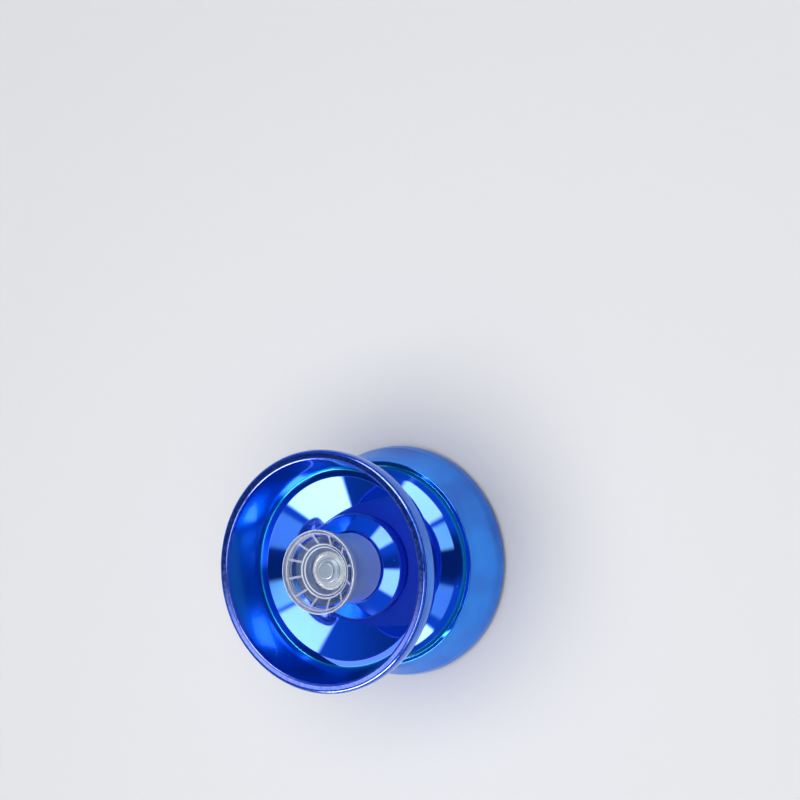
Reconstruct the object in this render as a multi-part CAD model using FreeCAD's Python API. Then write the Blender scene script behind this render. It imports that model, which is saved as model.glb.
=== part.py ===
import FreeCAD, Part
import math
import os

from FreeCAD import Vector

os.makedirs("parts", exist_ok=True)

# A wide butterfly yo-yo with a free-spinning clear knob on each side.
# Millimetres. +Z is the spin axis and the toy lies on its side, on the flat ring of its lower knob.
# The origin is on the axis, at the plane that the lower knob rests on.
# Both halves are the same. A half is drawn with h, the distance outward from the mid-plane.

# ---- driving dimensions -------------------------------------------------------------------
RIM_RADIUS = 28.0            # outside of the rim
RIM_HEIGHT = 19.25           # rim plane to mid-plane
KNOB_PROUD = 0.9             # knob face above the rim plane
STRING_GAP = 4.6             # between the two gap walls

BAND_DEPTH = 4.2             # width of the band round the rim
BAND_TAPER = 0.4             # how far the band draws in towards the gap
BAND_ROUND = 3.0             # where the taper runs into the band
LIP_INNER_RADIUS = 25.75     # inside edge of the rim's flat lip

# outside of the cup, from the string gap to the band, as (radius, h)
GAP_WALL_RADIUS = 12.0       # where the flat gap wall ends
FLARE_MIDDLE = (17.5, 4.45)
FLARE_END = (21.6, 6.55)
RIDGE_CROWN = (23.1, 7.45)
RIDGE_EDGE = (23.6, 8.0)
RIDGE_FOOT = (24.5, 8.15)
WAIST = (25.45, 9.9)
GAP_WALL_ROUND = 3.0
FLARE_ROUND = 30.0
FLARE_END_ROUND = 8.0
CROWN_ROUND = 1.6
WAIST_ROUND = 6.0

# inside of the cup
WELL_RADIUS = 23.3           # foot of the tapered inner wall
WELL_FLOOR = 8.6             # flat ring at the foot of that wall
BOWL_TOP_RADIUS = 21.5       # where the bowl starts to slope in
BOWL_FOOT_RADIUS = 12.4      # foot of the bowl's slope
BOWL_FOOT_HEIGHT = 3.55
HUB_CONE_RADIUS = 8.6        # top of the cone that rises to the stem
HUB_CONE_HEIGHT = 5.0
HUB_BOSS_RADIUS = 5.4        # boss round the axle, inside the stem
HUB_BOSS_HEIGHT = 7.4

BROKEN_EDGE = 0.15           # corner radii of turned and moulded edges
SMALL_ROUND = 0.3
ROUND = 0.4
RIM_ROUND = 1.0
LIP_ROUND = 0.55
BOWL_FOOT_ROUND = 0.7

PAD_INNER_RADIUS = 7.7
PAD_OUTER_RADIUS = 9.7
PAD_DEPTH = 0.9
PAD_PROUD = 0.1

AXLE_RADIUS = 1.97           # M4 rod
AXLE_HALF_LENGTH = 16.6
THREADED_BORE = 2.0          # nuts on the rod
CLEARANCE_BORE = 2.1         # cups and washers on the rod

# string bearing, size C: 6.35 x 12.7 x 4.76
STRING_BEARING = dict(bore=3.175, outside=6.35, width=4.76, inner_land=4.3, outer_land=5.45,
                      pitch=4.875, ball=1.0, count=8, shield=0.25)
# hub bearing: 4 x 9 x 4
HUB_BEARING = dict(bore=2.0, outside=4.5, width=4.0, inner_land=2.75, outer_land=3.75,
                   pitch=3.25, ball=0.79, count=7, shield=0.2)
BALL_PLAY = 0.04             # between a ball and its groove
SHIELD_GAP = 0.12            # between a shield and the inner race
SHIELD_RECESS = 0.15         # shield below the bearing's face
SHIELD_SEAT = 0.2            # shield's rim let into the outer race
CAGE_HALF_WIDTH = 0.38       # the cage, as shares of the ball's radius
CAGE_BACK = 1.45
CAGE_FRONT = 0.5

SEAT_FLOOR = 3.1             # bottom of the cup's recess round the string bearing
SEAT_RADIUS = 6.8
SPACER_SHOULDER_RADIUS = 4.7
SPACER_HEX = 7.6             # across flats
SPACER_FOOT = 5.6
SPACER_START = 0.1           # the two spacers' posts stop short of each other
POST_PLAY = 0.01
HEX_PLAY = 0.1               # across flats, in the cup's hexagonal pocket
PAD_PLAY = 0.02

WASHER_RADIUS = 4.2
WASHER_THICKNESS = 0.5
WASHER_EDGE = 0.08
NUT_HEX = 7.0
NUT_THICKNESS = 2.2
NUT_CHAMFER = 0.3
HUB_SPACER_RADIUS = 2.65
AXLE_END_ROUND = 0.35
HUB_BEARING_FOOT = 11.2      # inner face of the hub bearing
HUB_NUT_RADIUS = 2.9
HUB_NUT_THICKNESS = 1.1

KNOB_RADIUS = 9.7
KNOB_RING_INNER = 9.0        # inside of the flat ring that the toy rests on
KNOB_EDGE = 1.35             # thickness of the knob's edge
STEM_RADIUS = 8.13
STEM_FOOT = 5.35
STEM_BORE = 6.6
STEM_ROOF = 10.5             # top of the hollow in the stem
STEM_HEAD = 17.0             # where the stem meets the flange
BEARING_LIP_RADIUS = 3.95
BEARING_SEAT_PLAY = 0.02
BEARING_ENTRY = 0.3          # seat above the bearing's face
DISH_RADIUS = 6.1            # inner ring of the knob's dished face
DISH_HEIGHT = 17.05
DISH_WELL_RADIUS = 5.5
DISH_STEP = 0.15
RING_BEVEL = 0.5             # depth of the bevel inside the flat ring
RING_BEVEL_WIDTH = 0.05
POCKET_INNER_RADIUS = 6.45   # pockets between the knob's ribs
POCKET_MIDDLE_RADIUS = 7.75
POCKET_OUTER_RADIUS = 8.75
POCKET_INNER_FLOOR = 16.75
POCKET_MIDDLE_FLOOR = 17.15
POCKET_OUTER_FLOOR = 18.55
RIB_COUNT = 12
RIB_THICKNESS = 0.55
RIB_TURN = 13.0              # first rib, degrees from +X

CLEAR = 1.0                  # how far a cutting shape reaches past what it cuts

FACE_HEIGHT = RIM_HEIGHT + KNOB_PROUD
MIDDLE = FACE_HEIGHT         # height of the mid-plane over the resting face
AXIS = Vector(0, 0, 1)
CENTRE = Vector(0, 0, 0)


# ---- drawing helpers ----------------------------------------------------------------------
def outline(points):
    """Closed wire in the XZ plane. A point is (radius, h) or (radius, h, corner radius)."""
    corners = [(Vector(p[0], 0, p[1]), p[2] if len(p) > 2 else 0.0) for p in points]
    stretches = []
    for i, (corner, radius) in enumerate(corners):
        if radius == 0:
            stretches.append((corner, None, corner))
            continue
        before = (corners[i - 1][0] - corner).normalize()
        after = (corners[(i + 1) % len(corners)][0] - corner).normalize()
        half = before.getAngle(after) / 2
        setback = radius / math.tan(half)
        bisector = (before + after).normalize()
        middle = corner + bisector * (radius / math.sin(half) - radius)
        stretches.append((corner + before * setback, middle, corner + after * setback))
    edges = []
    for i, (start, middle, end) in enumerate(stretches):
        if middle is not None:
            edges.append(Part.Arc(start, middle, end).toShape())
        following = stretches[(i + 1) % len(stretches)][0]
        if end.distanceToPoint(following) > 1e-6:
            edges.append(Part.makeLine(end, following))
    return Part.Wire(edges)


def turned(points):
    """Solid of revolution about the spin axis."""
    return Part.Face(outline(points)).revolve(CENTRE, AXIS, 360)


def ring(inner, outer, low, high, edge=0.0):
    return turned([(inner, low, edge), (outer, low, edge), (outer, high, edge), (inner, high, edge)])


def hexagon(across_flats, low, high):
    corner = across_flats / math.sqrt(3)
    angles = [math.radians(60 * i) for i in range(7)]
    wire = Part.makePolygon([Vector(corner * math.cos(a), corner * math.sin(a), low) for a in angles])
    return Part.Face(wire).extrude(Vector(0, 0, high - low))


def around(shape, count):
    return [shape.rotated(CENTRE, AXIS, 360.0 * i / count) for i in range(count)]


def place(shape, side):
    """Move a shape drawn in h to the upper or the lower half."""
    placed = shape.copy()
    if side == "lower":
        placed.rotate(CENTRE, Vector(1, 0, 0), 180)
    placed.translate(Vector(0, 0, MIDDLE))
    return placed


def save(name, *shapes):
    solids = [solid for shape in shapes for solid in shape.Solids]
    part = solids[0] if len(solids) == 1 else Part.makeCompound(solids)
    part.exportStep("parts/" + name + ".step")


# ---- a ball bearing, centred on h = middle --------------------------------------------------
def bearing(size, middle):
    half = size["width"] / 2
    low, high = middle - half, middle + half
    groove = Part.makeTorus(size["pitch"], size["ball"] + BALL_PLAY, Vector(0, 0, middle))
    ball = Part.makeSphere(size["ball"], Vector(size["pitch"], 0, middle))
    inner = ring(size["bore"], size["inner_land"], low, high, BROKEN_EDGE).cut(groove)
    outer = ring(size["outer_land"], size["outside"], low, high, BROKEN_EDGE).cut(groove)
    shield_inner = size["inner_land"] + SHIELD_GAP
    shield_outer = size["outer_land"] + SHIELD_SEAT
    thickness = size["shield"]
    shields = [ring(shield_inner, shield_outer, low + SHIELD_RECESS, low + SHIELD_RECESS + thickness),
               ring(shield_inner, shield_outer, high - SHIELD_RECESS - thickness, high - SHIELD_RECESS)]
    for shield in shields:
        outer = outer.cut(shield)
    cage_reach = size["ball"] * CAGE_HALF_WIDTH
    cage = ring(size["pitch"] - cage_reach, size["pitch"] + cage_reach,
                middle - size["ball"] * CAGE_BACK, middle + size["ball"] * CAGE_FRONT)
    pocket = Part.makeSphere(size["ball"] + BALL_PLAY, Vector(size["pitch"], 0, middle))
    for hole in around(pocket, size["count"]):
        cage = cage.cut(hole)
    return dict(inner_race=[inner], outer_race=[outer], shields=shields,
                balls=around(ball, size["count"]), cage=[cage])


# ---- the turned cup -------------------------------------------------------------------------
def cup():
    gap_wall = STRING_GAP / 2
    body = turned([
        (CLEARANCE_BORE, SEAT_FLOOR),
        (SEAT_RADIUS, SEAT_FLOOR, BROKEN_EDGE),
        (SEAT_RADIUS, gap_wall, BROKEN_EDGE),
        (GAP_WALL_RADIUS, gap_wall, GAP_WALL_ROUND),
        (*FLARE_MIDDLE, FLARE_ROUND),
        (*FLARE_END, FLARE_END_ROUND),
        (*RIDGE_CROWN, CROWN_ROUND),
        (*RIDGE_EDGE, BROKEN_EDGE),
        (*RIDGE_FOOT, SMALL_ROUND),
        (*WAIST, WAIST_ROUND),
        (RIM_RADIUS - BAND_TAPER, RIM_HEIGHT - BAND_DEPTH, ROUND),
        (RIM_RADIUS, RIM_HEIGHT - BAND_DEPTH / 2, BAND_ROUND),
        (RIM_RADIUS, RIM_HEIGHT, RIM_ROUND),
        (LIP_INNER_RADIUS, RIM_HEIGHT, LIP_ROUND),
        (WELL_RADIUS, WELL_FLOOR, ROUND),
        (BOWL_TOP_RADIUS, WELL_FLOOR, ROUND),
        (BOWL_FOOT_RADIUS, BOWL_FOOT_HEIGHT, BOWL_FOOT_ROUND),
        (HUB_CONE_RADIUS, HUB_CONE_HEIGHT, ROUND),
        (HUB_BOSS_RADIUS, HUB_CONE_HEIGHT, SMALL_ROUND),
        (HUB_BOSS_RADIUS, HUB_BOSS_HEIGHT, SMALL_ROUND),
        (CLEARANCE_BORE, HUB_BOSS_HEIGHT),
    ])
    pad_groove = ring(PAD_INNER_RADIUS, PAD_OUTER_RADIUS, gap_wall - CLEAR, gap_wall + PAD_DEPTH)
    hex_pocket = hexagon(SPACER_HEX + HEX_PLAY, SEAT_FLOOR - CLEAR, SPACER_FOOT)
    return body.cut(pad_groove).cut(hex_pocket)


def response_pad():
    gap_wall = STRING_GAP / 2
    return ring(PAD_INNER_RADIUS + PAD_PLAY, PAD_OUTER_RADIUS - PAD_PLAY, gap_wall - PAD_PROUD,
                gap_wall + PAD_DEPTH, BROKEN_EDGE)


# ---- the stack on the axle --------------------------------------------------------------------
def bearing_spacer():
    face = STRING_BEARING["width"] / 2
    post = STRING_BEARING["bore"] - POST_PLAY
    turned_part = turned([
        (CLEARANCE_BORE, SPACER_START),
        (post, SPACER_START, SMALL_ROUND),
        (post, face),
        (SPACER_SHOULDER_RADIUS, face, BROKEN_EDGE),
        (SPACER_SHOULDER_RADIUS, SEAT_FLOOR),
        (CLEARANCE_BORE, SEAT_FLOOR),
    ])
    drive = hexagon(SPACER_HEX, SEAT_FLOOR, SPACER_FOOT)
    drive = drive.cut(Part.makeCylinder(CLEARANCE_BORE, SPACER_FOOT, CENTRE, AXIS))
    return turned_part.fuse(drive).removeSplitter()


def axle():
    end = AXLE_HALF_LENGTH
    return turned([(0, -end), (AXLE_RADIUS, -end, AXLE_END_ROUND),
                   (AXLE_RADIUS, end, AXLE_END_ROUND), (0, end)])


def axle_nut(low):
    high = low + NUT_THICKNESS
    flat = NUT_HEX / 2
    corner = NUT_HEX / math.sqrt(3)
    mouth = THREADED_BORE + NUT_CHAMFER
    envelope = turned([(0, low), (flat, low), (corner, low + NUT_CHAMFER), (corner, high - NUT_CHAMFER),
                       (flat, high), (0, high)])
    bore = turned([(0, low), (mouth, low), (THREADED_BORE, low + NUT_CHAMFER),
                   (THREADED_BORE, high - NUT_CHAMFER), (mouth, high), (0, high)])
    return hexagon(NUT_HEX, low, high).common(envelope).cut(bore)


def hub_nut(low):
    high = low + HUB_NUT_THICKNESS
    return turned([(THREADED_BORE, low), (HUB_NUT_RADIUS, low, BROKEN_EDGE),
                   (HUB_NUT_RADIUS, high, SMALL_ROUND), (THREADED_BORE, high, BROKEN_EDGE)])


# ---- the clear knob ---------------------------------------------------------------------------
def knob():
    seat = HUB_BEARING["outside"] + BEARING_SEAT_PLAY
    seat_top = HUB_BEARING_FOOT + HUB_BEARING["width"] + BEARING_ENTRY
    body = turned([
        (BEARING_LIP_RADIUS, STEM_ROOF, BROKEN_EDGE),
        (BEARING_LIP_RADIUS, HUB_BEARING_FOOT, BROKEN_EDGE),
        (seat, HUB_BEARING_FOOT),
        (seat, seat_top, BROKEN_EDGE),
        (DISH_WELL_RADIUS, DISH_HEIGHT - DISH_STEP, BROKEN_EDGE),
        (DISH_RADIUS, DISH_HEIGHT, BROKEN_EDGE),
        (KNOB_RING_INNER - RING_BEVEL_WIDTH, FACE_HEIGHT - RING_BEVEL, BROKEN_EDGE),
        (KNOB_RING_INNER, FACE_HEIGHT, BROKEN_EDGE),
        (KNOB_RADIUS, FACE_HEIGHT, BROKEN_EDGE),
        (KNOB_RADIUS, FACE_HEIGHT - KNOB_EDGE, SMALL_ROUND),
        (STEM_RADIUS, STEM_HEAD, ROUND),
        (STEM_RADIUS, STEM_FOOT, SMALL_ROUND),
        (STEM_BORE, STEM_FOOT, SMALL_ROUND),
        (STEM_BORE, STEM_ROOF, ROUND),
    ])
    pockets = turned([
        (POCKET_INNER_RADIUS, POCKET_INNER_FLOOR, BROKEN_EDGE),
        (POCKET_MIDDLE_RADIUS, POCKET_MIDDLE_FLOOR, SMALL_ROUND),
        (POCKET_OUTER_RADIUS, POCKET_OUTER_FLOOR, BROKEN_EDGE),
        (POCKET_OUTER_RADIUS, FACE_HEIGHT + CLEAR),
        (POCKET_INNER_RADIUS, FACE_HEIGHT + CLEAR),
    ])
    rib = Part.makeBox(KNOB_RADIUS, RIB_THICKNESS, FACE_HEIGHT, Vector(0, -RIB_THICKNESS / 2, 0))
    for spoke in around(rib.rotated(CENTRE, AXIS, RIB_TURN), RIB_COUNT):
        pockets = pockets.cut(spoke)
    return body.cut(pockets)


# ---- the halves -------------------------------------------------------------------------------
nut_foot = HUB_BOSS_HEIGHT + WASHER_THICKNESS
nut_top = nut_foot + NUT_THICKNESS
hub_bearing_top = HUB_BEARING_FOOT + HUB_BEARING["width"]
hub_bearing_middle = HUB_BEARING_FOOT + HUB_BEARING["width"] / 2

half = {
    "cup": [cup()],
    "response_pad": [response_pad()],
    "bearing_spacer": [bearing_spacer()],
    "axle_washer": [ring(CLEARANCE_BORE, WASHER_RADIUS, HUB_BOSS_HEIGHT, nut_foot, WASHER_EDGE)],
    "axle_nut": [axle_nut(nut_foot)],
    "hub_spacer": [ring(CLEARANCE_BORE, HUB_SPACER_RADIUS, nut_top, HUB_BEARING_FOOT, WASHER_EDGE)],
    "hub_nut": [hub_nut(hub_bearing_top)],
    "knob": [knob()],
}
for name, shapes in bearing(HUB_BEARING, hub_bearing_middle).items():
    half["hub_" + name] = shapes

for side in ("upper", "lower"):
    for name, shapes in half.items():
        save(side + "_" + name, *[place(shape, side) for shape in shapes])

save("axle", place(axle(), "upper"))
for name, shapes in bearing(STRING_BEARING, 0).items():
    save("string_bearing_" + name, *[place(shape, "upper") for shape in shapes])
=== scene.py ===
import math

import bmesh
import bpy
from mathutils import Matrix, Vector


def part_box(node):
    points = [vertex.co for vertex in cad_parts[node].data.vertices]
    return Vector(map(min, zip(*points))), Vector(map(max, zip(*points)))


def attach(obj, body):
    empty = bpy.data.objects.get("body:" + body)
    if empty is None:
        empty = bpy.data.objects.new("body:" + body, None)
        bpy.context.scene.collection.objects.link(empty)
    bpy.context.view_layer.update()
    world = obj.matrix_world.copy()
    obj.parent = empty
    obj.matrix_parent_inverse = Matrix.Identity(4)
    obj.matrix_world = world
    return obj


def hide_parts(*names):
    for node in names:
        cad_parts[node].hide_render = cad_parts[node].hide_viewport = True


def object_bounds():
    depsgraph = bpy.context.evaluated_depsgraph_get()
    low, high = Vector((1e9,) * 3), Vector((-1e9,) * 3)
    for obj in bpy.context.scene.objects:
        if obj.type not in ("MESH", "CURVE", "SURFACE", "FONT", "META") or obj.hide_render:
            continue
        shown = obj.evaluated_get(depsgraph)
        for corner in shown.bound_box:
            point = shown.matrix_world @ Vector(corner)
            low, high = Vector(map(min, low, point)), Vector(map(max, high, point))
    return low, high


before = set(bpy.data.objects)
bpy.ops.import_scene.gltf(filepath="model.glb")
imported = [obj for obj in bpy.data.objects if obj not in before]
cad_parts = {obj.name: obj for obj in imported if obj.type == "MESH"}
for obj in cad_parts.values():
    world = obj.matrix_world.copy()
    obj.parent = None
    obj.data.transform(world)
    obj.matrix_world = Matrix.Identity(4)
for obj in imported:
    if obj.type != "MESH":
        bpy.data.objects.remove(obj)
cad_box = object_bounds()

MM = 0.001
SIDES = ("upper", "lower")
RIM_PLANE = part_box("upper_cup")[1].z
MIDDLE = (cad_box[0].z + cad_box[1].z) / 2
RIM_HEIGHT = RIM_PLANE - MIDDLE

# ---- camera: looks down on the toy from 30 degrees off the spin axis -------------------------
LENS = 90.0                     # mm, on a 36 mm sensor
VIEW_TILT = math.radians(29.92)
VIEW_TURN = math.radians(0.5)
VIEW_DISTANCE = 457.4 * MM      # lens to the plane of the upper rim
AIM_RIGHT = -0.04016            # the rim's centre in the frame, as tangents
AIM_DOWN = 0.08600


def make_camera():
    """The spin axis runs to the right and away, and the rim's centre is seen at the aim."""
    away = Vector((math.sin(VIEW_TILT) * math.cos(VIEW_TURN),
                   math.sin(VIEW_TILT) * math.sin(VIEW_TURN),
                   math.cos(VIEW_TILT)))
    down = Vector((0, -1, 0))
    down = (down - down.dot(away) * away).normalized()
    right = down.cross(-away)
    rim_centre = Vector((0, 0, RIM_PLANE))
    offset = (right * AIM_RIGHT + down * AIM_DOWN - away) * VIEW_DISTANCE
    turn = Matrix((right, -down, away)).transposed().to_4x4()
    data = bpy.data.cameras.new("camera")
    data.sensor_width = 36.0
    data.lens = LENS
    data.clip_start = 0.01
    data.clip_end = 20.0
    camera = bpy.data.objects.new("camera", data)
    camera.matrix_world = Matrix.Translation(rim_centre - offset) @ turn
    bpy.context.scene.collection.objects.link(camera)
    bpy.context.scene.camera = camera


# ---- node helpers --------------------------------------------------------------------------------
class Nodes:
    """A node tree, with short calls for the nodes that are used over and over."""

    def __init__(self, tree):
        self.nodes = tree.nodes
        self.links = tree.links

    def split(self, vector):
        node = self.nodes.new("ShaderNodeSeparateXYZ")
        self.links.new(vector, node.inputs[0])
        return node.outputs

    def spread(self, source, low, high, to_low=0.0, to_high=1.0):
        """Map a range onto another, smoothly, and hold it at both ends."""
        node = self.nodes.new("ShaderNodeMapRange")
        node.interpolation_type = "SMOOTHSTEP"
        node.inputs["From Min"].default_value = low
        node.inputs["From Max"].default_value = high
        node.inputs["To Min"].default_value = to_low
        node.inputs["To Max"].default_value = to_high
        self.links.new(source, node.inputs["Value"])
        return node.outputs[0]

    def fade(self, source, low, high):
        """One below a range of the source and zero above it."""
        return self.spread(source, low, high, 1.0, 0.0)

    def band(self, source, low, high, blur):
        """One between two values of the source and zero outside them."""
        return self.product(self.spread(source, low - blur, low), self.fade(source, high, high + blur))

    def value(self, operation, *inputs):
        node = self.nodes.new("ShaderNodeMath")
        node.operation = operation
        for socket, source in zip(node.inputs, inputs):
            self.connect(source, socket)
        return node.outputs[0]

    def sum(self, first, second):
        return self.value("ADD", first, second)

    def less(self, first, second):
        return self.value("SUBTRACT", first, second)

    def product(self, first, second):
        return self.value("MULTIPLY", first, second)

    def highest(self, first, second):
        return self.value("MAXIMUM", first, second)

    def distance(self, x, y):
        """Distance from the spin axis."""
        return self.value("SQRT", self.sum(self.product(x, x), self.product(y, y)))

    def connect(self, source, socket):
        if isinstance(source, (int, float)):
            socket.default_value = source
        else:
            self.links.new(source, socket)


class Shader(Nodes):
    """A material, made from its principled surface and the nodes that feed it."""

    def __init__(self, name):
        self.material = bpy.data.materials.new(name)
        self.material.use_nodes = True
        super().__init__(self.material.node_tree)
        self.surface = self.nodes["Principled BSDF"]

    def set(self, **values):
        for name, value in values.items():
            socket = self.surface.inputs[name.replace("_", " ")]
            socket.default_value = (*value, 1) if isinstance(value, tuple) else value

    def feed(self, name, source):
        self.links.new(source, self.surface.inputs[name.replace("_", " ")])

    def position(self):
        return self.nodes.new("ShaderNodeTexCoord").outputs["Object"]

    def cylinder(self):
        """Distance from the spin axis and distance from the mid-plane, in metres."""
        x, y, z = self.split(self.position())
        return self.distance(x, y), self.value("ABSOLUTE", self.less(z, MIDDLE))

    def noise(self, scale, detail=3.0, vector=None):
        node = self.nodes.new("ShaderNodeTexNoise")
        node.inputs["Scale"].default_value = scale
        node.inputs["Detail"].default_value = detail
        self.links.new(vector or self.position(), node.inputs["Vector"])
        return node.outputs["Fac"]

    def specks(self, scale, size, share):
        """One inside scattered dots: their radius in cells, and the share of the cells with one."""
        node = self.nodes.new("ShaderNodeTexVoronoi")
        node.inputs["Scale"].default_value = scale
        self.links.new(self.position(), node.inputs["Vector"])
        split = self.nodes.new("ShaderNodeSeparateColor")
        self.links.new(node.outputs["Color"], split.inputs[0])
        near = self.fade(node.outputs["Distance"], size / 2, size)
        return self.product(near, self.value("LESS_THAN", split.outputs[0], share))

    def rings(self, spacing):
        """Fine concentric lines, as a lathe leaves them."""
        radius, height = self.cylinder()
        join = self.nodes.new("ShaderNodeCombineXYZ")
        self.links.new(radius, join.inputs[0])
        self.links.new(height, join.inputs[1])
        return self.noise(1 / spacing, 2.0, join.outputs[0])

    def blend(self, factor, first, second):
        node = self.nodes.new("ShaderNodeMix")
        node.data_type = "RGBA"
        self.connect(factor, node.inputs["Factor"])
        for socket, colour in ((node.inputs["A"], first), (node.inputs["B"], second)):
            if isinstance(colour, tuple):
                socket.default_value = (*colour, 1)
            else:
                self.links.new(colour, socket)
        return node.outputs["Result"]

    def bump(self, height, depth):
        """Relief of the given depth in metres."""
        node = self.nodes.new("ShaderNodeBump")
        node.inputs["Strength"].default_value = 1.0
        node.inputs["Distance"].default_value = depth
        self.links.new(height, node.inputs["Height"])
        return node.outputs[0]


# ---- the blue metal ------------------------------------------------------------------------------
# where the cup's looks change: each pair is a range of radii, or of depths below the rim
WALL_FOOT = (22.6 * MM, 23.2 * MM)
WALL_TOP_DEPTHS = (1.2 * MM, 0.4 * MM)
WALL_SLOPE = 0.2301             # how the flared wall's radius grows with its height
WALL_BASE = (21.6 * MM, 21.9 * MM)      # radius at the mid-plane of a line within the wall's thickness
LIP_DEPTHS = (0.9 * MM, 0.25 * MM)
LIP_INNER_CORNER = (25.9 * MM, 26.3 * MM)
LIP_OUTER_CORNER = (27.3 * MM, 27.7 * MM)

BOWL_SKIN = ((0.012, 0.09, 0.73), (0.016, 0.11, 0.78))
# the walls' colours, paler and greener than the bowl's, are a painted reflection; the noise on the outer
# wall is random uneven tone
OUTER_WALL_TONES_AND_PAINTED_REFLECTION = ((0.004, 0.15, 0.66), (0.008, 0.24, 0.88))
INNER_WALL_PAINTED_REFLECTION = (0.005, 0.35, 0.72)
# the lip's lavender: wear, and a painted highlight along the lip's corners and over it
WORN_AND_HIGHLIGHT_SKIN = (0.24, 0.28, 0.86)
DUST = (0.35, 0.45, 0.75)


def wall_masks(shader, radius, height):
    """The flared wall, and of everything the side towards the axis and the side away from it."""
    below_lip = shader.fade(height, *(RIM_HEIGHT - depth for depth in WALL_TOP_DEPTHS))
    wall = shader.product(shader.spread(radius, *WALL_FOOT), below_lip)
    base = shader.less(radius, shader.product(height, WALL_SLOPE))
    return wall, shader.fade(base, *WALL_BASE), shader.spread(base, *WALL_BASE)


def lip_wear_and_highlights(shader, radius, height):
    """Full at the lip's two corners in patches, and speckled between them: wear, with a painted highlight
    along both corners and over the lip.
    """
    lip = shader.spread(height, *(RIM_HEIGHT - depth for depth in LIP_DEPTHS))
    inner_corner = shader.fade(radius, *LIP_INNER_CORNER)
    outer_corner = shader.spread(radius, *LIP_OUTER_CORNER)
    corners = shader.product(lip, shader.highest(inner_corner, outer_corner))
    patches = shader.spread(shader.noise(900.0), 0.3, 0.7, 0.4, 1.0)
    speckles = shader.spread(shader.noise(1300.0, 5.0), 0.35, 0.65, 0.12, 0.6)
    return shader.highest(shader.product(corners, patches), shader.product(lip, speckles))


def blue_metal():
    """Mirror-polished aluminium under a transparent blue skin; the walls' paler tones are a painted
    reflection, and the lip has wear with a painted highlight on it.
    """
    shader = Shader("blue_mirror_metal")
    shader.set(Metallic=0.94, Specular_Tint=(0.5, 0.68, 1.0))
    shader.set(Coat_Weight=0.6, Coat_Roughness=0.04, Coat_IOR=1.7)
    radius, height = shader.cylinder()
    wall, inside, outside = wall_masks(shader, radius, height)
    worn_and_highlit = lip_wear_and_highlights(shader, radius, height)
    dust = shader.specks(650.0, 0.07, 0.12)

    bowl_skin = shader.blend(shader.spread(shader.noise(60.0), 0.35, 0.65), *BOWL_SKIN)
    outer_tones_and_painted_reflection = shader.blend(shader.spread(shader.noise(75.0, 4.0), 0.35, 0.65), *OUTER_WALL_TONES_AND_PAINTED_REFLECTION)
    # the walls take paler, greener colours than the bowl: painted reflection, over random uneven tone on
    # the outer wall
    skin = shader.blend(wall, bowl_skin, shader.blend(inside, outer_tones_and_painted_reflection, INNER_WALL_PAINTED_REFLECTION))
    # the lip: wear, and a painted highlight along its corners
    skin = shader.blend(worn_and_highlit, skin, WORN_AND_HIGHLIGHT_SKIN)
    shader.feed("Base_Color", shader.blend(dust, skin, DUST))

    haze = shader.spread(shader.noise(220.0), 0.3, 0.75, 0.03, 0.06)
    hairlines = shader.spread(shader.rings(0.12 * MM), 0.35, 0.65, 0.5, 1.0)
    smudges = shader.product(shader.spread(shader.noise(130.0, 6.0), 0.5, 0.62), hairlines)
    haze = shader.sum(haze, shader.product(shader.product(smudges, outside), 0.1))
    haze = shader.sum(haze, shader.product(shader.product(wall, inside), 0.15))
    marks = shader.highest(shader.product(worn_and_highlit, 0.26), shader.product(dust, 0.5))
    shader.feed("Roughness", shader.highest(haze, marks))
    shader.feed("Normal", shader.bump(shader.noise(700.0, 2.0), 0.0006 * MM))
    return shader.material


# ---- the clear plastic ---------------------------------------------------------------------------
# radii and heights above the mid-plane on the knob
STEM_SIDE = (7.6 * MM, 7.9 * MM)
STEM_TOP = (16.5 * MM, 17.0 * MM)
DISH_RADIUS = 6.1 * MM
DISH_HEIGHT = 17.05 * MM
DISH_SLOPE = 0.912              # how the face's dish rises with its radius
DISH_SKIN = (-0.12 * MM, -0.03 * MM)
RIB_RADII = (6.45 * MM, 8.8 * MM)
RIB_BLUR = 0.05 * MM
WELL_FLOOR = (16.7 * MM, 16.8 * MM)
# the face's edges below are given a painted white highlight
EDGE_RADII = (4.6 * MM, 5.5 * MM, 6.2 * MM, 8.85 * MM, 9.6 * MM)    # edges of the face that show white
EDGE_HALF_WIDTH = 0.1 * MM
EDGE_BLUR = 0.08 * MM

CLEAR = (0.93, 0.95, 1.0)
STEM_TINT = (0.7, 0.8, 1.0)
DISH_TINT = (0.6, 0.72, 1.0)
# painted highlight colour for the face's ribs and edges
HIGHLIGHT_TINT = (0.9, 0.91, 1.0)


def face_edge_highlights(shader, radius, height):
    """Narrow rings on the knob's face, along its edges, where a white highlight is painted."""
    edges = 0.0
    for edge in EDGE_RADII:
        line = shader.band(radius, edge - EDGE_HALF_WIDTH, edge + EDGE_HALF_WIDTH, EDGE_BLUR)
        edges = shader.highest(line, edges)
    return shader.product(edges, shader.spread(height, *WELL_FLOOR))


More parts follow.
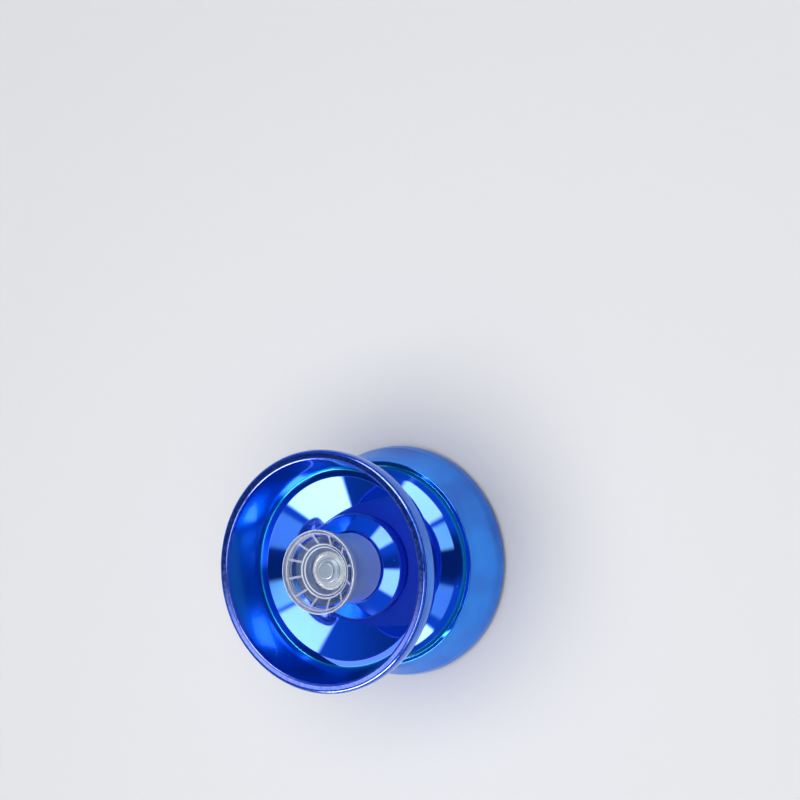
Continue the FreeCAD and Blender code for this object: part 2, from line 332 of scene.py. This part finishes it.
def clear_plastic():
    """Clear moulded plastic: polished, but satin on the stem's outside and on the face's ribs and edges,
    where a white highlight is also painted.
    """
    shader = Shader("clear_plastic")
    shader.set(IOR=1.5)
    radius, height = shader.cylinder()
    stem = shader.product(shader.spread(radius, *STEM_SIDE), shader.fade(height, *STEM_TOP))
    rise = shader.product(shader.less(radius, DISH_RADIUS), DISH_SLOPE)
    dish = shader.spread(shader.less(height, shader.sum(rise, DISH_HEIGHT)), *DISH_SKIN)
    ribs = shader.product(dish, shader.band(radius, *RIB_RADII, RIB_BLUR))
    edges = face_edge_highlights(shader, radius, height)
    # painted white highlight on the ribs and edges: whiter colour and less transmission
    painted_highlight = shader.highest(shader.product(ribs, 0.5), shader.product(edges, 0.8))

    tint = shader.blend(dish, shader.blend(stem, CLEAR, STEM_TINT), DISH_TINT)
    highlight_strength = shader.value("MINIMUM", shader.product(painted_highlight, 2.0), 1.0)
    shader.feed("Base_Color", shader.blend(highlight_strength, tint, HIGHLIGHT_TINT))
    veil = shader.highest(shader.highest(shader.product(stem, 0.68), shader.product(dish, 0.16)), painted_highlight)
    shader.feed("Transmission_Weight", shader.less(0.98, veil))
    satin = shader.sum(shader.product(stem, 0.32), shader.product(painted_highlight, 0.4))
    smooth = shader.spread(shader.noise(400.0), 0.3, 0.7, 0.015, 0.05)
    shader.feed("Roughness", shader.sum(smooth, satin))
    shader.feed("Normal", shader.bump(shader.noise(2500.0, 4.0), 0.0015 * MM))
    return shader.material


# ---- the other materials -------------------------------------------------------------------------
TOOL_MARK_SPACING = 0.06 * MM


def turned_metal(name, colour, dark, roughness, depth=0.0015 * MM, metallic=1.0):
    """Lathe-turned metal: concentric tool marks, and tone and gloss that vary a little."""
    shader = Shader(name)
    marks = shader.rings(TOOL_MARK_SPACING)
    shader.set(Metallic=metallic)
    shader.feed("Base_Color", shader.blend(shader.spread(marks, 0.35, 0.65), dark, colour))
    gloss = shader.spread(shader.noise(900.0), 0.3, 0.7, roughness * 0.85, roughness * 1.2)
    shader.feed("Roughness", gloss)
    shader.feed("Normal", shader.bump(marks, depth))
    return shader.material


def silicone():
    """Pale translucent rubber with a fine grain."""
    shader = Shader("pad_silicone")
    shader.set(Roughness=0.6, IOR=1.41, Subsurface_Weight=0.25, Subsurface_Scale=0.5 * MM)
    shader.feed("Base_Color", shader.blend(shader.spread(shader.noise(300.0), 0.3, 0.7),
                                           (0.72, 0.74, 0.76), (0.82, 0.84, 0.86)))
    shader.feed("Normal", shader.bump(shader.noise(4000.0), 0.01 * MM))
    return shader.material


def paint(material, *names):
    for name in names:
        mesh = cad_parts[name].data
        mesh.materials.clear()
        mesh.materials.append(material)


def paint_all():
    clear = clear_plastic()
    plated = turned_metal("plated_steel", (0.64, 0.69, 0.78), (0.5, 0.54, 0.62), 0.34, metallic=0.85)
    race = turned_metal("bearing_steel", (0.9, 0.9, 0.92), (0.82, 0.82, 0.85), 0.24, metallic=0.82)
    polished = turned_metal("string_race_steel", (0.86, 0.86, 0.87), (0.76, 0.76, 0.78), 0.15, 0.0008 * MM)
    shield = turned_metal("shield_steel", (0.84, 0.84, 0.86), (0.74, 0.74, 0.76), 0.36, metallic=0.8)
    brass = turned_metal("spacer_brass", (0.78, 0.58, 0.27), (0.66, 0.46, 0.19), 0.25)
    cage = turned_metal("cage_brass", (0.62, 0.46, 0.22), (0.5, 0.36, 0.16), 0.4)
    pad = silicone()
    for side in SIDES:
        paint(clear, side + "_knob")
        paint(pad, side + "_response_pad")
        paint(brass, side + "_bearing_spacer", side + "_hub_spacer")
        paint(plated, side + "_axle_washer", side + "_axle_nut", side + "_hub_nut")
        paint(race, side + "_hub_inner_race", side + "_hub_outer_race", side + "_hub_balls")
        paint(shield, side + "_hub_shields")
        paint(cage, side + "_hub_cage")
    paint(plated, "axle")
    paint(shield, "string_bearing_shields")
    paint(polished, "string_bearing_inner_race", "string_bearing_outer_race", "string_bearing_balls")
    paint(cage, "string_bearing_cage")


# ---- the cups, turned finely enough for a mirror ----------------------------------------------
TURN_STEPS = 288
ARC_STEP = math.radians(5)

# half of a cup's section, as (radius, distance from the mid-plane, corner radius) in mm
CUP_SECTION = [
    (4.43, 3.1, 0), (4.43, 5.6, 0), (2.1, 5.6, 0), (2.1, 7.4, 0),
    (5.4, 7.4, 0.3), (5.4, 5.0, 0.3), (8.6, 5.0, 0.4), (12.4, 3.55, 0.7), (21.5, 8.6, 0.4),
    (23.3, 8.6, 0.4), (25.75, 19.25, 0.55), (28.0, 19.25, 1.0), (28.0, 17.15, 3.0), (27.6, 15.05, 0.4),
    (25.45, 9.9, 6.0), (24.5, 8.15, 0.3), (23.6, 8.0, 0.15), (23.1, 7.45, 1.6),
    (21.6, 6.55, 8.0), (17.5, 4.45, 30.0), (12.0, 2.3, 3.0),
    (9.7, 2.3, 0.05), (9.7, 3.2, 0), (7.7, 3.2, 0), (7.7, 2.3, 0.05), (6.8, 2.3, 0.15), (6.8, 3.1, 0.15),
]


def rounded(section):
    """Points round a closed section, each with the normals of the stretches before and after it."""
    count = len(section)
    points = []
    for i, (x, y, radius) in enumerate(section):
        corner = Vector((x, y))
        before = (corner - Vector(section[i - 1][:2])).normalized()
        after = (Vector(section[(i + 1) % count][:2]) - corner).normalized()
        if radius == 0:
            points.append((corner, before.orthogonal(), after.orthogonal()))
            continue
        bend = before.angle_signed(after)
        setback = radius * math.tan(abs(bend) / 2)
        side = before.orthogonal() if bend < 0 else -before.orthogonal()
        steps = max(2, math.ceil(abs(bend) / ARC_STEP))
        start = corner - before * setback
        for step in range(steps + 1):
            turned = Matrix.Rotation(-bend * step / steps, 2)
            normal = turned @ before.orthogonal()
            centre = start + side * radius
            points.append((centre - turned @ side * radius, normal, normal))
    return points


def turned_cup(side):
    """A cup turned about the spin axis, with the section's exact normals on its faces."""
    sign = 1 if side == "upper" else -1
    section = rounded(CUP_SECTION)
    angles = [2 * math.pi * step / TURN_STEPS for step in range(TURN_STEPS)]
    rays = [(math.cos(angle), math.sin(angle)) for angle in angles]
    verts = [(point.x * MM * c, point.x * MM * s, MIDDLE + sign * point.y * MM)
             for point, before, after in section for c, s in rays]
    faces = []
    normals = []
    rows = len(section)
    for row in range(rows):
        following = (row + 1) % rows
        near = section[row][2]
        far = section[following][1]
        for step in range(TURN_STEPS):
            ahead = (step + 1) % TURN_STEPS
            corners = [(row, step, near), (row, ahead, near),
                       (following, ahead, far), (following, step, far)]
            if sign > 0:
                corners.reverse()
            faces.append([r * TURN_STEPS + t for r, t, normal in corners])
            normals += [(normal.x * rays[t][0], normal.x * rays[t][1], sign * normal.y)
                        for r, t, normal in corners]
    mesh = bpy.data.meshes.new(side + "_turned_cup")
    mesh.from_pydata(verts, [], faces)
    mesh.shade_smooth()
    mesh.normals_split_custom_set(normals)
    cup = bpy.data.objects.new(side + "_turned_cup", mesh)
    bpy.context.scene.collection.objects.link(cup)
    return cup


def make_cups(metal):
    for side in SIDES:
        cup = turned_cup(side)
        cup.data.materials.append(metal)
        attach(cup, "root")
        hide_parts(side + "_cup")


# ---- studio -------------------------------------------------------------------------------------
FLOOR_REACH = 3.0
SOFTBOX_DISTANCE = 0.65
SOFTBOX_EDGE = 0.07             # width of the fading edge, as a share of the distance
WARM_WHITE = (1.0, 0.9, 0.8)
PALE_GREEN = (0.75, 1.0, 0.45)
WHITE = (1.0, 1.0, 1.0)
FLOOR = (0.83, 0.83, 0.85)
BACKDROP = (0.74, 0.74, 0.77)
GLOW_REACH = (0.12, 0.9)        # distance over which the floor's own glow grows
FLOOR_GLOW = 0.78


def stage_object(mesh, shader):
    mesh.materials.append(shader.material)
    stage = bpy.data.objects.new(mesh.name, mesh)
    bpy.context.scene.collection.objects.link(stage)
    return stage


def make_floor():
    """A pale floor that glows a little away from the lights, so that it meets the backdrop softly."""
    corners = [(-1, -1), (1, -1), (1, 1), (-1, 1)]
    shader = Shader("floor")
    shader.set(Base_Color=FLOOR, Roughness=0.75, Emission_Color=BACKDROP)
    x, y, z = shader.split(shader.position())
    glow = shader.spread(shader.distance(x, y), *GLOW_REACH, 0.0, FLOOR_GLOW)
    shader.feed("Emission_Strength", glow)
    mesh = bpy.data.meshes.new("floor")
    mesh.from_pydata([(a * FLOOR_REACH, b * FLOOR_REACH, 0) for a, b in corners], [], [(0, 1, 2, 3)])
    stage_object(mesh, shader)


def make_backdrop():
    """A pale dome behind everything, which only the camera sees."""
    shader = Shader("backdrop")
    shader.set(Base_Color=(0.0, 0.0, 0.0), Roughness=1.0, Emission_Color=BACKDROP, Emission_Strength=1.0)
    dome = bmesh.new()
    bmesh.ops.create_icosphere(dome, subdivisions=4, radius=FLOOR_REACH)
    mesh = bpy.data.meshes.new("backdrop")
    dome.to_mesh(mesh)
    dome.free()
    backdrop = stage_object(mesh, shader)
    backdrop.visible_diffuse = False
    backdrop.visible_glossy = False
    backdrop.visible_transmission = False
    backdrop.visible_shadow = False


def softbox(name, start, end, breadth, colour, radiance):
    """A soft box that faces the toy, reaches from one direction to another and fades at its edges."""
    start = Vector(start).normalized()
    end = Vector(end).normalized()
    centre = (start + end) / 2
    facing = centre.normalized()
    along = (end - start).normalized()
    across = facing.cross(along).normalized()
    along = across.cross(facing)
    data = bpy.data.lights.new(name, "AREA")
    data.shape = "RECTANGLE"
    data.size = ((end - start).length + SOFTBOX_EDGE) / centre.length * SOFTBOX_DISTANCE
    data.size_y = (breadth + SOFTBOX_EDGE) * SOFTBOX_DISTANCE
    data.color = colour
    data.energy = math.pi * data.size * data.size_y * radiance
    data.use_nodes = True
    glow = Nodes(data.node_tree)
    places = glow.split(glow.nodes.new("ShaderNodeNewGeometry").outputs["Parametric"])
    strength = 1.0
    for place, size in zip(places, (data.size, data.size_y)):
        edge = SOFTBOX_EDGE * SOFTBOX_DISTANCE / size
        strength = glow.product(glow.spread(place, 0.0, edge), strength)
        strength = glow.product(glow.fade(place, 1 - edge, 1.0), strength)
    glow.connect(strength, glow.nodes["Emission"].inputs["Strength"])
    light = bpy.data.objects.new(name, data)
    turn = Matrix((along, across, facing)).transposed().to_4x4()
    light.matrix_world = Matrix.Translation(facing * SOFTBOX_DISTANCE) @ turn
    light.visible_camera = False
    bpy.context.scene.collection.objects.link(light)
    return light


def make_lights():
    """Soft boxes that the mirror shows, and a wide overhead light that only matt surfaces take."""
    boxes = [
        softbox("softbox_right", (0.10, -0.67, 0.74), (-0.47, -0.77, 0.43), 0.27, WARM_WHITE, 12.0),
        softbox("softbox_right_top", (0.20, -0.09, 0.98), (0.07, -0.45, 0.89), 0.18, WARM_WHITE, 5.5),
        softbox("softbox_right_side", (0.38, -0.27, 0.88), (0.20, -0.59, 0.79), 0.16, PALE_GREEN, 1.2),
        softbox("softbox_left", (0.25, 0.41, 0.88), (-0.19, 0.69, 0.69), 0.25, WARM_WHITE, 6.6),
        softbox("softbox_left_top", (0.09, 0.28, 0.95), (-0.12, 0.45, 0.88), 0.11, WARM_WHITE, 5.5),
        softbox("softbox_left_side", (0.41, 0.11, 0.90), (0.28, 0.36, 0.89), 0.14, PALE_GREEN, 3.4),
        softbox("softbox_lip", (-0.42, -0.155, 0.89), (-0.62, -0.155, 0.77), 0.08, WARM_WHITE, 2.3),
    ]
    for box in boxes:
        box.visible_diffuse = False
    overhead = softbox("overhead", (-0.6, -0.2, 0.8), (0.6, 0.1, 0.8), 1.2, WHITE, 2.6)
    overhead.visible_glossy = False
    overhead.visible_transmission = False


ROOM_COLOUR = (0.06, 0.5, 1.0, 1)
ROOM_HEIGHTS = (0.0, 0.9)       # sine of the elevation
ROOM_LEVELS = (0.12, 0.75)

# the room's dark places: direction, degrees from it where full dark ends and where all of it does, level
DARK_PLACES = [
    ((0.43, 0.01, 0.90), 9, 22, 0.2),
    ((-0.5, 0.0, 0.866), 14, 30, 0.16),
]


def make_world():
    """A cool room that darkens towards the horizon, round the camera and on the side away from it."""
    world = bpy.data.worlds.new("studio")
    bpy.context.scene.world = world
    world.use_nodes = True
    room = Nodes(world.node_tree)
    direction = room.nodes.new("ShaderNodeTexCoord").outputs["Generated"]
    level = room.spread(room.split(direction)[2], *ROOM_HEIGHTS, *ROOM_LEVELS)
    for place, inner, outer, depth in DARK_PLACES:
        dot = room.nodes.new("ShaderNodeVectorMath")
        dot.operation = "DOT_PRODUCT"
        dot.inputs[1].default_value = Vector(place).normalized()
        room.links.new(direction, dot.inputs[0])
        limits = (math.cos(math.radians(outer)), math.cos(math.radians(inner)))
        level = room.product(level, room.spread(dot.outputs["Value"], *limits, 1.0, depth))
    background = room.nodes["Background"]
    background.inputs["Color"].default_value = ROOM_COLOUR
    room.connect(level, background.inputs["Strength"])
    world.cycles_visibility.diffuse = False


make_camera()
paint_all()
make_cups(blue_metal())
make_floor()
make_backdrop()
make_lights()
make_world()
bpy.context.scene.view_settings.view_transform = "Standard"
